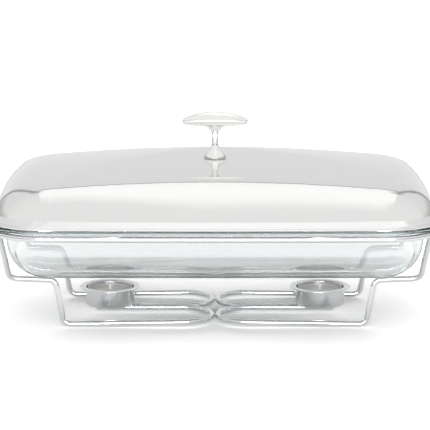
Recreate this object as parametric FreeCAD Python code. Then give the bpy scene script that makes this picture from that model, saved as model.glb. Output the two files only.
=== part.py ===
import FreeCAD, Part
import math
import os

from FreeCAD import Vector

# Chafing dish: a wire stand, a glass baking dish, a domed lid with a knob and two tealights.
# The frame stands on the table under the middle of the object. +X runs along the long side
# to the right, +Y to the back and +Z up. All sizes are in millimetres and degrees.

# Glass dish
DISH_HALF_LENGTH = 179.0      # body just under the rim, from the middle to an end
DISH_HALF_WIDTH = 100.0       # body just under the rim, from the middle to a side
DISH_CORNER = 36.0            # corner radius in plan of the walls
DISH_DEPTH = 45.5             # from under the rim to the base
DISH_DRAFT = 8.0              # lean of the walls
DISH_BASE_BEND = 32.0         # bend from the wall into the base
DISH_WALL = 4.5
DISH_BASE = 5.0
SIDE_BOW = 2.2                # swell of the long sides
END_BOW = 1.5                 # swell of the short ends
FLATTEST_SHARE = 0.35         # most swell of a short side, as a share of what makes it a corner
RIM_WIDTH = 15.5              # overhang of the flat rim outside the body
RIM_THICKNESS = 3.7
RIM_ROUND = 1.2               # rounding of the rim's edges
RIM_UNDER_BEND = 3.0          # bend from the wall to the rim's underside

# Wire stand
WIRE = 5.0                    # diameter of every wire
RING_TOP = 91.3               # height of the ring's top above the table
RING_INSET = 2.0              # ring's centre line inside the edge of the glass rim
LEG_WELD_ANGLE = 39.0         # place of the leg on the ring's corner, from the long axis
LEG_WELD_DEPTH = 1.0          # stop of the leg's wire short of the ring's centre line
STEP_INSET = 3.7              # outer bend of the leg inside the end of the dish's body
STEP_RUN = 39.3               # length of the step under the dish
STEP_RISE = 1.4               # outer end of the step above its inner end
DROP_LEAN = 6.7               # inward lean from the step to the table
BASE_HALF_WIDTH = 54.8        # from the middle to the outer wires on the table
LOOP_HEIGHT = 4.3             # centre height of the hairpins and of the wires under the cups
WIRE_GAP = 0.2                # space between wires that lie side by side
UPPER_BEND = 8.0              # centre line radius of the leg's upper bend
LOWER_BEND = 7.0              # centre line radius of the other bends

# Candle cups and tealights
CUP_OFFSET = 91.7             # from the middle to a cup's axis
CUP_HEIGHT = 16.7
CUP_WALL = 0.8
CUP_CLEARANCE = 1.5           # space round the tealight
CUP_FLANGE = 4.5              # flat flange outside the wall, up to the middle of its rolled edge
CUP_LIP = 0.5                 # radius of the rolled edge
INNER_WIRE_END = 12.0         # inner wires run past the cup's axis by this
CAN_DIAMETER = 38.0
CAN_HEIGHT = 15.5
CAN_WALL = 0.4
CAN_LIP = 0.45                # radius of the can's rolled edge
WAX_GAP = 0.1                 # space between the wax and what it lies in
WAX_HEIGHT = 12.6
WICK_DIAMETER = 1.6
WICK_ABOVE_WAX = 4.5
CLIP_DIAMETER = 12.0
CLIP_THICKNESS = 0.4
CLIP_NECK_DIAMETER = 3.0
CLIP_NECK_HEIGHT = 3.2

# Lid
LID_SHEET = 0.8
LID_BEAD = 3.4                # diameter of the rolled edge
LID_BEAD_BITE = 0.3           # outer face of the sheet inside the skin of the bead where they meet
LID_BEAD_INSET = 1.5          # bead's centre line inside the edge of the glass rim
LID_CORNER = 52.0             # corner radius in plan at the foot of the dome
LID_TOP_CORNER = 50.0         # corner radius in plan at the top of the shoulder
FLARE_RISE = 4.5              # height of the flare above the bead
FLARE_SLOPE = 45.0            # flare above the horizontal
DOME_RISE = 34.2              # from the foot of the dome to its top
DOME_WALL_SLOPE = 74.0        # wall of the dome above the horizontal
SHOULDER_BEND = 42.5          # bend from the wall to the top
CROWN_RADIUS_ACROSS = 830.0   # radius of the gentle top from front to back
CROWN_RADIUS_ALONG = 1600.0   # radius of the gentle top from end to end

# Knob and its fixing
KNOB_FOOT_DIAMETER = 19.4
KNOB_FOOT_ROUND = 4.0         # rounding from the foot's edge into its flank
KNOB_FLANK_SLOPE = 52.0       # flank of the foot above the horizontal
KNOB_NECK_BEND = 8.0          # bend from the flank into the neck
KNOB_NECK_DIAMETER = 5.6
KNOB_BAR_HALF_LENGTH = 28.7
KNOB_BAR_DIAMETER = 14.0      # at the middle
KNOB_BAR_END_DIAMETER = 6.4   # at the rounded ends
KNOB_BAR_LIFT = 1.6           # middle of the bar above its ends
KNOB_HEIGHT = 40.2            # from the gasket to the top of the bar
KNOB_FLARE = 7.5              # fillet from the neck into the bar
BAR_STEPS = 4                 # sections from the middle of the bar to its domed end
BAR_END_STEPS = 3             # sections round the domed end
BAR_END_TURN = 80.0           # last of them, from the bar's side towards its tip
GASKET_THICKNESS = 0.6
GASKET_INSET = 0.5            # gasket's edge inside the foot of the knob
WASHER_GAP = 0.05             # flat washer under the curved sheet
SCREW_DIAMETER = 4.0
SCREW_IN_KNOB = 7.0
SCREW_HEAD_DIAMETER = 8.0
SCREW_HEAD_HEIGHT = 2.6
SCREW_RECESS_DEPTH = 1.3
SCREW_RECESS_WIDTH = 0.9
SCREW_RECESS_LENGTH = 4.4
SCREW_GAP = 0.05              # radial space round the screw in the knob
HOLE_GAP = 0.3                # radial space round the screw in the sheet, washer and gasket
WASHER_DIAMETER = 12.0
WASHER_THICKNESS = 0.8

# Running space between pieces that come apart
SEAT = 0.3                    # under the glass rim, and under the lid's bead
STEP_CLEARANCE = 2.4          # between the dish and the steps

# Limits of the modelling
BEND_LIMIT = 0.95             # largest bend, as a share of the corner radius that it follows
EDGE_TOLERANCE = 0.01         # edges this near a height lie at that height
BEAD_STRIPS = 4               # strips of the bead's skin round its section

# Heights that follow
WIRE_RADIUS = WIRE / 2
RING_HEIGHT = RING_TOP - WIRE_RADIUS
RIM_UNDERSIDE = RING_TOP + SEAT
RIM_TOP = RIM_UNDERSIDE + RIM_THICKNESS
DISH_BOTTOM = RIM_UNDERSIDE - DISH_DEPTH
STEP_HEIGHT = DISH_BOTTOM - STEP_CLEARANCE - WIRE_RADIUS
CUP_SEAT = LOOP_HEIGHT + WIRE_RADIUS
CAN_SEAT = CUP_SEAT + CUP_WALL
CUP_INNER_RADIUS = CAN_DIAMETER / 2 + CUP_CLEARANCE
BEAD_RADIUS = LID_BEAD / 2
BEAD_HEIGHT = RIM_TOP + SEAT + BEAD_RADIUS
FLARE_REACH = BEAD_RADIUS - LID_BEAD_BITE
FLARE_BASE = BEAD_HEIGHT + FLARE_REACH * math.cos(math.radians(FLARE_SLOPE))
DOME_FOOT = FLARE_BASE + FLARE_RISE
DOME_TOP = DOME_FOOT + DOME_RISE
SHEET_LAP = 2 * LID_SHEET      # dome and flare run into each other by this


class Outline:
    """A rounded rectangle whose sides swell a little: eight tangent arcs at one height."""

    def __init__(self, half_length, half_width, corner):
        self.half_length = half_length
        self.half_width = half_width
        self.corner = corner
        side_radius = self.bow_radius(half_length - corner, SIDE_BOW)
        end_radius = self.bow_radius(half_width - corner, END_BOW)
        side_centre = Vector(0, half_width - side_radius)
        end_centre = Vector(half_length - end_radius, 0)
        # The corner's centre lies where its circle touches both side arcs from inside.
        reach_side = side_radius - corner
        reach_end = end_radius - corner
        across = end_centre - side_centre
        apart = across.Length
        along = (reach_side ** 2 - reach_end ** 2 + apart ** 2) / (2 * apart)
        off = math.sqrt(reach_side ** 2 - along ** 2)
        unit = across / apart
        self.centre = side_centre + unit * along + Vector(unit.y, -unit.x) * off
        self.start = math.atan2(self.centre.y - end_centre.y, self.centre.x - end_centre.x)
        self.stop = math.atan2(self.centre.y - side_centre.y, self.centre.x - side_centre.x)

    def bow_radius(self, half_side, bow):
        """Radius of a side's arc. A short side swells less, so that it stays flatter than a corner."""
        bow = min(bow, FLATTEST_SHARE * half_side ** 2 / self.corner)
        return (half_side ** 2 + bow ** 2) / (2 * bow)

    def corner_point(self, angle):
        """Point of the corner arc in the quarter where x and y are positive."""
        return self.centre + Vector(math.cos(angle), math.sin(angle)) * self.corner

    def wire(self, z):
        first = self.corner_point(self.start)
        middle = self.corner_point((self.start + self.stop) / 2)
        last = self.corner_point(self.stop)
        signs = [(1, 1), (-1, 1), (-1, -1), (1, -1)]
        edges = []
        for number, (sx, sy) in enumerate(signs):
            quarter = [Vector(p.x * sx, p.y * sy, z) for p in (first, middle, last)]
            if sx * sy < 0:
                quarter.reverse()
            following = signs[(number + 1) % 4]
            edges.append(Part.Arc(*quarter).toShape())
            if sx == following[0]:
                target = Vector(first.x * following[0], first.y * following[1], z)
                crest = Vector(self.half_length * sx, 0, z)
            else:
                target = Vector(last.x * following[0], last.y * following[1], z)
                crest = Vector(0, self.half_width * sy, z)
            edges.append(Part.Arc(quarter[2], crest, target).toShape())
        return Part.Wire(edges)


def rim_outline(inset=0.0):
    """Outline of the glass rim's edge, or one that lies inside it by the inset."""
    return Outline(DISH_HALF_LENGTH + RIM_WIDTH - inset, DISH_HALF_WIDTH + RIM_WIDTH - inset,
                   DISH_CORNER + RIM_WIDTH - inset)


def cylinder(radius, height, x, y, z):
    return Part.makeCylinder(radius, height, Vector(x, y, z))


def revolve(outline, x, y):
    """Turn a closed outline of (radius, z) points and arcs about the vertical line at x, y."""
    face = Part.Face(outline)
    solid = face.revolve(Vector(0, 0, 0), Vector(0, 0, 1), 360)
    solid.translate(Vector(x, y, 0))
    return solid


def profile(*points):
    """A closed outline in the XZ plane. A triple (radius, z, 'via') bends the edge through it."""
    edges = []
    corners = [Vector(p[0], 0, p[1]) for p in points]
    vias = [len(p) == 3 for p in points]
    count = len(points)
    index = 0
    while index < count:
        here = corners[index]
        if vias[(index + 1) % count]:
            edges.append(Part.Arc(here, corners[(index + 1) % count],
                                  corners[(index + 2) % count]).toShape())
            index += 2
        else:
            edges.append(Part.LineSegment(here, corners[(index + 1) % count]).toShape())
            index += 1
    return Part.Wire(edges)


def section(path, radius):
    """The circle square to the path at its start."""
    start = path.Edges[0]
    at = start.valueAt(start.FirstParameter)
    return Part.Circle(at, start.tangentAt(start.FirstParameter), radius)


def pipe(path, radius):
    """A round bar along the path."""
    circle = section(path, radius).toShape()
    return path.makePipe(Part.Face(Part.Wire(circle)))


def bent_wire(points, radii):
    """A round wire through the points, bent at each inner one with the centre line radius."""
    edges = []
    here = points[0]
    for before, corner, after, radius in zip(points, points[1:], points[2:], radii):
        inward = (before - corner).normalize()
        outward = (after - corner).normalize()
        half = inward.getAngle(outward) / 2
        reach = radius / math.tan(half)
        bisector = (inward + outward).normalize()
        start = corner + inward * reach
        stop = corner + outward * reach
        middle = corner + bisector * (radius / math.sin(half) - radius)
        if (start - here).Length > 1e-4:
            edges.append(Part.LineSegment(here, start).toShape())
        edges.append(Part.Arc(start, middle, stop).toShape())
        here = stop
    edges.append(Part.LineSegment(here, points[-1]).toShape())
    path = Part.Wire(edges)
    solid = pipe(path, WIRE_RADIUS)
    expected = math.pi * WIRE_RADIUS ** 2 * path.Length
    print("  wire", round(path.Length, 1), "mm, volume ratio", round(solid.Volume / expected, 4))
    return solid


def rim_ring():
    return pipe(rim_outline(RING_INSET).wire(RING_HEIGHT), WIRE_RADIUS)


def leg(side, depth, ring):
    """One leg: side is -1 for left and 1 for right, depth is -1 for front and 1 for back."""
    weld = rim_outline(RING_INSET).corner_point(math.radians(LEG_WELD_ANGLE))
    tip = WIRE_RADIUS + WIRE_GAP / 2
    step_outer = DISH_HALF_LENGTH - STEP_INSET
    step_inner = step_outer - STEP_RUN
    foot = step_inner - DROP_LEAN
    # The wire climbs from the foot to the hairpin, so the low point lies at the end of the bend.
    drop_angle = math.atan2(STEP_HEIGHT - WIRE_RADIUS, DROP_LEAN)
    climb = (LOOP_HEIGHT - WIRE_RADIUS) / (foot - tip)
    foot_height = WIRE_RADIUS - climb * LOWER_BEND * math.tan(drop_angle / 2)
    loop_radius = (BASE_HALF_WIDTH - tip) / 2
    route = [
        (weld.x, weld.y, RING_HEIGHT),
        (step_outer, BASE_HALF_WIDTH, STEP_HEIGHT + STEP_RISE),
        (step_inner, BASE_HALF_WIDTH, STEP_HEIGHT),
        (foot, BASE_HALF_WIDTH, foot_height),
        (tip, BASE_HALF_WIDTH, LOOP_HEIGHT),
        (tip, tip, LOOP_HEIGHT),
        (CUP_OFFSET + INNER_WIRE_END, tip, LOOP_HEIGHT),
    ]
    points = [Vector(x * side, y * depth, z) for x, y, z in route]
    down = (points[1] - points[0]).normalize()
    points[0] = points[0] + down * LEG_WELD_DEPTH
    radii = [UPPER_BEND, LOWER_BEND, LOWER_BEND, loop_radius, loop_radius]
    return bent_wire(points, radii).cut(ring)


def candle_cup(x):
    """A round cup with a flat flange, whose edge is rolled."""
    outer = CUP_INNER_RADIUS + CUP_WALL
    edge = outer + CUP_FLANGE
    top = CUP_SEAT + CUP_HEIGHT
    shell = cylinder(outer, CUP_HEIGHT, x, 0, CUP_SEAT)
    hollow = cylinder(CUP_INNER_RADIUS, CUP_HEIGHT, x, 0, CAN_SEAT)
    flange = cylinder(edge, CUP_WALL, x, 0, top - CUP_WALL)
    roll = Part.makeTorus(edge, CUP_LIP, Vector(x, 0, top - CUP_LIP))
    return shell.fuse(flange).fuse(roll).cut(hollow).removeSplitter()


def tealight_can(x):
    radius = CAN_DIAMETER / 2
    top = CAN_SEAT + CAN_HEIGHT
    wall = cylinder(radius, CAN_HEIGHT, x, 0, CAN_SEAT)
    hollow = cylinder(radius - CAN_WALL, CAN_HEIGHT, x, 0, CAN_SEAT + CAN_WALL)
    lip = Part.makeTorus(radius, CAN_LIP, Vector(x, 0, top - CAN_LIP))
    return wall.cut(hollow).fuse(lip).cut(hollow).removeSplitter()


def clip_seat():
    return CAN_SEAT + CAN_WALL


def wick_radius():
    return WICK_DIAMETER / 2


def wick_clip(x):
    """The tin plate under the wax, with the neck that pinches the wick."""
    bottom = clip_seat()
    plate = cylinder(CLIP_DIAMETER / 2, CLIP_THICKNESS, x, 0, bottom)
    neck = cylinder(CLIP_NECK_DIAMETER / 2, CLIP_NECK_HEIGHT, x, 0, bottom)
    bore = cylinder(wick_radius(), CLIP_NECK_HEIGHT, x, 0, bottom + CLIP_THICKNESS)
    return plate.fuse(neck).cut(bore).removeSplitter()


def tealight_wax(x):
    """The wax fills the can round the clip and the wick."""
    bottom = clip_seat() + WAX_GAP
    body = cylinder(CAN_DIAMETER / 2 - CAN_WALL - WAX_GAP, WAX_HEIGHT, x, 0, bottom)
    plate = cylinder(CLIP_DIAMETER / 2 + WAX_GAP, CLIP_THICKNESS, x, 0, bottom)
    neck = cylinder(CLIP_NECK_DIAMETER / 2 + WAX_GAP, CLIP_NECK_HEIGHT, x, 0, bottom)
    bore = cylinder(wick_radius() + WAX_GAP, WAX_HEIGHT, x, 0, bottom)
    return body.cut(plate).cut(neck).cut(bore)


def tealight_wick(x):
    bottom = clip_seat() + CLIP_THICKNESS
    top = clip_seat() + WAX_GAP + WAX_HEIGHT + WICK_ABOVE_WAX
    return cylinder(wick_radius(), top - bottom, x, 0, bottom)


def frustum(half_length, half_width, corner, z, pull, rise, far_corner):
    """A solid with straight walls: its outline draws in by the pull over the rise."""
    near = Outline(half_length, half_width, corner).wire(z)
    far = Outline(half_length - pull, half_width - pull, far_corner).wire(z + rise)
    return Part.makeLoft([near, far], True, True)


def basin(top, bottom, inset, bend):
    """The dish's bowl: leaning walls that bend into a flat base, inset inside its outer face."""
    lean = math.tan(math.radians(DISH_DRAFT))
    below_rim = RIM_UNDERSIDE - top
    corner = DISH_CORNER - inset
    solid = frustum(DISH_HALF_LENGTH - inset - below_rim * lean,
                    DISH_HALF_WIDTH - inset - below_rim * lean, corner,
                    top, (top - bottom) * lean, bottom - top, corner)
    floor_edges = [e for e in solid.Edges if e.BoundBox.ZMax < bottom + EDGE_TOLERANCE]
    return solid.makeFillet(min(bend, BEND_LIMIT * corner), floor_edges)


def edges_inside(shape, height):
    """Edges at the height that lie inside the dish's body in plan."""
    found = []
    for edge in shape.Edges:
        box = edge.BoundBox
        level = abs(box.ZMin - height) < EDGE_TOLERANCE and box.ZLength < EDGE_TOLERANCE
        if level and abs(box.Center.x) < DISH_HALF_LENGTH + RIM_ROUND:
            if abs(box.Center.y) < DISH_HALF_WIDTH + RIM_ROUND:
                found.append(edge)
    return found


def glass_dish():
    body = basin(RIM_UNDERSIDE + RIM_ROUND, DISH_BOTTOM, 0, DISH_BASE_BEND)
    rim = Part.Face(rim_outline().wire(RIM_UNDERSIDE)).extrude(Vector(0, 0, RIM_THICKNESS))
    rim = rim.makeFillet(RIM_ROUND, [e for e in rim.Edges if e.BoundBox.ZLength < EDGE_TOLERANCE])
    wall = DISH_WALL / math.cos(math.radians(DISH_DRAFT))
    hollow = basin(RIM_TOP + RIM_ROUND, DISH_BOTTOM + DISH_BASE, wall, DISH_BASE_BEND - DISH_WALL)
    dish = body.fuse(rim).cut(hollow).removeSplitter()
    dish = dish.makeFillet(RIM_ROUND, edges_inside(dish, RIM_TOP))
    return dish.makeFillet(RIM_UNDER_BEND, edges_inside(dish, RIM_UNDERSIDE))


def crown(skin):
    """Everything under the top of the dome: an arc across, carried along a larger arc."""
    top = DOME_TOP - skin
    across = CROWN_RADIUS_ACROSS - skin
    along = CROWN_RADIUS_ALONG - skin
    reach = 2 * DISH_HALF_WIDTH
    edge = top - across + math.sqrt(across ** 2 - reach ** 2)
    floor = edge - 2 * DOME_RISE
    arc = Part.Arc(Vector(0, -reach, edge), Vector(0, 0, top), Vector(0, reach, edge)).toShape()
    corners = [Vector(0, reach, edge), Vector(0, reach, floor), Vector(0, -reach, floor),
               Vector(0, -reach, edge)]
    sides = [Part.LineSegment(a, b).toShape() for a, b in zip(corners, corners[1:])]
    face = Part.Face(Part.Wire([arc] + sides))
    centre = Vector(0, 0, top - along)
    sweep = math.degrees(math.asin(2 * DISH_HALF_LENGTH / along))
    face.rotate(centre, Vector(0, 1, 0), -sweep)
    return face.revolve(centre, Vector(0, 1, 0), 2 * sweep)


def dome_foot():
    """Half length and half width of the dome's foot, where the flare's outer face ends."""
    foot = rim_outline(LID_BEAD_INSET)
    slope = math.radians(FLARE_SLOPE)
    reach = FLARE_REACH * math.sin(slope) - FLARE_RISE / math.tan(slope)
    return foot.half_length + reach, foot.half_width + reach


def lid_wall(slope, corner_growth, skin, low, high):
    """A solid whose wall passes the dome's foot at the slope, from low under it to high over it.

    The wall lies skin inside the lid's outer face, and its corner radius grows with the height."""
    half_length, half_width = dome_foot()
    inward = skin / math.sin(slope)
    spread = low / math.tan(slope) - inward
    return frustum(half_length + spread, half_width + spread,
                   LID_CORNER - corner_growth * low - inward, DOME_FOOT - low,
                   (low + high) / math.tan(slope), low + high,
                   LID_CORNER + corner_growth * high - inward)


def dome(skin):
    """The dome down to a lap below its foot, skin inside its outer face."""
    rise = DOME_RISE + SHOULDER_BEND
    growth = (LID_TOP_CORNER - LID_CORNER) / rise
    # The bend needs more wall than the dome shows, so the wall starts deep and is cut off last.
    depth = SHOULDER_BEND
    bottom = DOME_FOOT - depth
    solid = lid_wall(math.radians(DOME_WALL_SLOPE), growth, skin, depth, rise).common(crown(skin))
    shoulder = [e for e in solid.Edges if e.BoundBox.ZMin > bottom + EDGE_TOLERANCE]
    bend = min(SHOULDER_BEND, BEND_LIMIT * min(LID_CORNER, LID_TOP_CORNER))
    solid = solid.makeFillet(bend - skin, shoulder)
    length, width = 4 * DISH_HALF_LENGTH, 4 * DISH_HALF_WIDTH
    corner = Vector(-length / 2, -width / 2, bottom - depth)
    return solid.cut(Part.makeBox(length, width, 2 * depth - SHEET_LAP, corner))


def flare(skin, extend):
    """The flare from the bead up into the dome, skin inside its outer face."""
    slope = math.radians(FLARE_SLOPE)
    base_corner = rim_outline(LID_BEAD_INSET).corner + FLARE_REACH * math.sin(slope)
    growth = (LID_CORNER - base_corner) / FLARE_RISE
    return lid_wall(slope, growth, skin, FLARE_RISE + extend, SHEET_LAP)


def bead():
    """The rolled edge: a round bar with its skin in strips, of which the sheet meets only one."""
    path = rim_outline(LID_BEAD_INSET).wire(BEAD_HEIGHT)
    circle = section(path, BEAD_RADIUS)
    turn = 2 * math.pi / BEAD_STRIPS
    arcs = []
    for number in range(BEAD_STRIPS):
        arc = Part.ArcOfCircle(circle, (number - 0.5) * turn, (number + 0.5) * turn)
        arcs.append(arc.toShape())
    return path.makePipe(Part.Face(Part.Wire(arcs)))


def lid_shell():
    shell = dome(0).fuse(flare(0, 0)).cut(dome(LID_SHEET)).cut(flare(LID_SHEET, SHEET_LAP))
    hole = cylinder(SCREW_DIAMETER / 2 + HOLE_GAP, DOME_RISE, 0, 0, DOME_FOOT + DOME_RISE / 2)
    return shell.fuse(bead()).cut(hole)


def knob_base():
    return DOME_TOP + GASKET_THICKNESS


def ring_plate(radius, hole, thickness, z):
    return cylinder(radius, thickness, 0, 0, z).cut(cylinder(hole, thickness, 0, 0, z))


def knob_gasket():
    return ring_plate(KNOB_FOOT_DIAMETER / 2 - GASKET_INSET, SCREW_DIAMETER / 2 + HOLE_GAP,
                      GASKET_THICKNESS, DOME_TOP)


def washer_seat():
    """Underside of the washer, where the screw's head bears."""
    return DOME_TOP - LID_SHEET - WASHER_GAP - WASHER_THICKNESS


def knob_washer():
    return ring_plate(WASHER_DIAMETER / 2, SCREW_DIAMETER / 2 + HOLE_GAP, WASHER_THICKNESS,
                      washer_seat())


def knob_screw():
    """A pan head screw from inside the lid, with a cross recess in its head."""
    seat = washer_seat()
    bottom = seat - SCREW_HEAD_HEIGHT
    top = knob_base() + SCREW_IN_KNOB
    shank = cylinder(SCREW_DIAMETER / 2, top - seat, 0, 0, seat)
    head = cylinder(SCREW_HEAD_DIAMETER / 2, SCREW_HEAD_HEIGHT, 0, 0, bottom)
    rim = [e for e in head.Edges if e.BoundBox.ZMax < bottom + EDGE_TOLERANCE]
    screw = shank.fuse(head.makeFillet(SCREW_HEAD_HEIGHT / 2, rim))
    for turn in (0, 90):
        slot = Part.makeBox(SCREW_RECESS_LENGTH, SCREW_RECESS_WIDTH, SCREW_RECESS_DEPTH,
                            Vector(-SCREW_RECESS_LENGTH / 2, -SCREW_RECESS_WIDTH / 2, bottom))
        slot.rotate(Vector(0, 0, 0), Vector(0, 0, 1), turn)
        screw = screw.cut(slot)
    return screw.removeSplitter()


def knob_bar(top):
    """The T-bar: round sections along X, thick and raised at the middle, with domed ends."""
    middle = KNOB_BAR_DIAMETER / 2
    end = KNOB_BAR_END_DIAMETER / 2
    axis = top - middle - KNOB_BAR_LIFT
    # The bar tapers as a parabola, and the dome at its end takes over at the parabola's slope.
    taper = math.atan(2 * (middle - end) / (KNOB_BAR_HALF_LENGTH - end))
    dome = end / math.cos(taper)
    straight = KNOB_BAR_HALF_LENGTH - dome * (1 - math.sin(taper))
    half = []
    for number in range(BAR_STEPS + 1):
        share = number / BAR_STEPS
        bulge = 1 - share ** 2
        half.append((straight * share, end + (middle - end) * bulge, axis + KNOB_BAR_LIFT * bulge))
    for number in range(1, BAR_END_STEPS + 1):
        turn = taper + (math.radians(BAR_END_TURN) - taper) * number / BAR_END_STEPS
        half.append((straight + dome * (math.sin(turn) - math.sin(taper)), dome * math.cos(turn), axis))
    stations = [(-x, r, z) for x, r, z in reversed(half[1:])] + half
    wires = []
    for x, radius, z in stations:
        wires.append(Part.Wire(Part.Circle(Vector(x, 0, z), Vector(1, 0, 0), radius).toShape()))
    return Part.makeLoft(wires, True)


def knob_stem(base, top):
    """Foot and neck, and the height where the neck becomes straight.

    The foot's edge is rounded into a straight flank, which bends into the neck."""
    foot = KNOB_FOOT_DIAMETER / 2
    neck = KNOB_NECK_DIAMETER / 2
    turn = math.radians(90 - KNOB_FLANK_SLOPE)

    def round_point(angle):
        return foot - KNOB_FOOT_ROUND * (1 - math.cos(angle)), base + KNOB_FOOT_ROUND * math.sin(angle)

    def bend_point(angle):
        return neck + KNOB_NECK_BEND * (1 - math.cos(angle)), shoulder - KNOB_NECK_BEND * math.sin(angle)

    flank = foot - neck - (KNOB_FOOT_ROUND + KNOB_NECK_BEND) * (1 - math.cos(turn))
    shoulder = (base + flank / math.tan(turn)
                + (KNOB_FOOT_ROUND + KNOB_NECK_BEND) * math.sin(turn))
    stem = profile(
        (0, base), (foot, base), (*round_point(turn / 2), "via"), round_point(turn),
        bend_point(turn), (*bend_point(turn / 2), "via"), (neck, shoulder), (neck, top), (0, top))
    return revolve(stem, 0, 0), shoulder


def lid_knob():
    base = knob_base()
    top = base + KNOB_HEIGHT
    foot = KNOB_FOOT_DIAMETER / 2
    bar_axis = top - KNOB_BAR_DIAMETER / 2
    stem, shoulder = knob_stem(base, bar_axis)
    knob = stem.fuse(knob_bar(top))
    joint = []
    for edge in knob.Edges:
        box = edge.BoundBox
        if shoulder + EDGE_TOLERANCE < box.ZMin and box.ZMax < bar_axis and box.XMax < foot:
            if box.XMin > -foot:
                joint.append(edge)
    knob = knob.makeFillet(KNOB_FLARE, joint)
    bore = cylinder(SCREW_DIAMETER / 2 + SCREW_GAP, SCREW_IN_KNOB + SCREW_DIAMETER / 4, 0, 0, base)
    return knob.cut(bore).removeSplitter()


def build():
    ring = rim_ring()
    parts = {"rim_ring": ring}
    for depth_name, depth in (("front", -1), ("back", 1)):
        for side_name, side in (("left", -1), ("right", 1)):
            parts[depth_name + "_" + side_name + "_leg"] = leg(side, depth, ring)
    parts["glass_dish"] = glass_dish()
    parts["lid_shell"] = lid_shell()
    parts["lid_knob"] = lid_knob()
    parts["knob_gasket"] = knob_gasket()
    parts["knob_washer"] = knob_washer()
    parts["knob_screw"] = knob_screw()
    for side_name, side in (("left", -1), ("right", 1)):
        x = CUP_OFFSET * side
        parts[side_name + "_candle_cup"] = candle_cup(x)
        parts[side_name + "_tealight_can"] = tealight_can(x)
        parts[side_name + "_tealight_wax"] = tealight_wax(x)
        parts[side_name + "_tealight_wick"] = tealight_wick(x)
        parts[side_name + "_wick_clip"] = wick_clip(x)
    return parts


os.makedirs("parts", exist_ok=True)
for name, shape in build().items():
    print(name, len(shape.Solids), "solid", "valid" if shape.isValid() else "NOT VALID",
          round(shape.Volume / 1000, 2), "cm3")
    shape.exportStep("parts/" + name + ".step")
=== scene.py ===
import math

import bmesh
import bpy
from bpy.props import FloatProperty, FloatVectorProperty, IntProperty, PointerProperty
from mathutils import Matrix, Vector


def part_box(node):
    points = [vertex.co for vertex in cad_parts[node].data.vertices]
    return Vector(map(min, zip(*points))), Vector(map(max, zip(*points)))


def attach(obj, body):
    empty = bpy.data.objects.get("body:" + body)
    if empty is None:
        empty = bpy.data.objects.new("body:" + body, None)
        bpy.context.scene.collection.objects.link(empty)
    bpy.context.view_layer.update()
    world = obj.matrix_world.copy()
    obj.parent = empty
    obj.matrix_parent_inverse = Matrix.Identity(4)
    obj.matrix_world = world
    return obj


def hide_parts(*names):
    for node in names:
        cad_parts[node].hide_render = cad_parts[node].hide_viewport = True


bl_info = {
    "name": "Chafing Dish",
    "version": (1, 0, 0),
    "blender": (4, 5, 0),
    "location": "View3D > Sidebar > Chafing Dish",
    "description": "Builds a chafing dish of polished steel, pressed glass and bent wire",
    "category": "Object",
}

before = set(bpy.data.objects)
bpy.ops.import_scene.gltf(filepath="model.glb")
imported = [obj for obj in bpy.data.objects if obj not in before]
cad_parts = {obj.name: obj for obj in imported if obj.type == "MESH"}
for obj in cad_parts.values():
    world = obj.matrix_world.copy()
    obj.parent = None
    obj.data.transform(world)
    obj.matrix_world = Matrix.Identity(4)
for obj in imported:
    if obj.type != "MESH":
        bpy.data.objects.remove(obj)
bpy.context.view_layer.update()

MM = 0.001
SIDES = ("left", "right")
LEGS = tuple(depth + "_" + side + "_leg" for depth in ("front", "back") for side in SIDES)
IMAGE_SIZE = 430.0            # pixels of the square picture
SENSOR = 36.0                 # width of the camera's sensor in millimetres
WELD_DISTANCE = 0.001 * MM    # vertices nearer to each other than this are one
FLAT = 0.99                   # least height of the normal of a face that lies flat
GLASS_EDGE = 40               # degrees from which an edge of the pressed glass stays sharp
TURNED_EDGE = 50              # the same for a turned or twisted piece


def linear(code):
    """A colour written as an sRGB hex value, as linear red, green, blue and alpha."""
    parts = [int(code[i:i + 2], 16) / 255 for i in (1, 3, 5)]
    return [c / 12.92 if c <= 0.04045 else ((c + 0.055) / 1.055) ** 2.4 for c in parts] + [1.0]


def colour(name, description, code):
    """A colour property whose default is the sRGB hex value."""
    return FloatVectorProperty(name=name, description=description, default=linear(code),
                               size=4, min=0, max=1, subtype="COLOR")


def length(name, description, millimetres):
    """A length property whose default is given in millimetres."""
    return FloatProperty(name=name, description=description, default=millimetres * MM, unit="LENGTH")


def angle(name, description, degrees):
    """An angle property whose default is given in degrees."""
    return FloatProperty(name=name, description=description, default=math.radians(degrees),
                         subtype="ANGLE")


def add(tree, kind, inputs=None, stops=(), **settings):
    """Adds a node with its settings. Each input takes a value, or an output that it is linked to, and a
    colour ramp takes its greys as stops of (place, level)."""
    made = tree.nodes.new(kind)
    for key, value in settings.items():
        setattr(made, key, value)
    for key, value in (inputs or {}).items():
        if isinstance(value, bpy.types.NodeSocket):
            tree.links.new(value, made.inputs[key])
        else:
            made.inputs[key].default_value = value
    if stops:
        points = made.color_ramp.elements
        while len(points) < len(stops):
            points.new(0.5)
        for point, (place, level) in zip(points, stops):
            point.position = place
            point.color = (level, level, level, 1)
    return made


def material(name):
    """A new material with nodes, its tree and its output."""
    made = bpy.data.materials.new(name)
    made.use_nodes = True
    made.node_tree.nodes.clear()
    return made, made.node_tree, add(made.node_tree, "ShaderNodeOutputMaterial")


def dress(piece, finish):
    """Gives a piece one material."""
    piece.data.materials.clear()
    piece.data.materials.append(finish)


def cad(name):
    """The CAD object of a node."""
    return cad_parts[name]


def stand_for(piece, finish, node, body):
    """Finishes a modelled piece, which takes the place of its CAD node and rides on its body."""
    dress(piece, finish)
    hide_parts(node)
    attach(piece, body)


# Shaping

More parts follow.
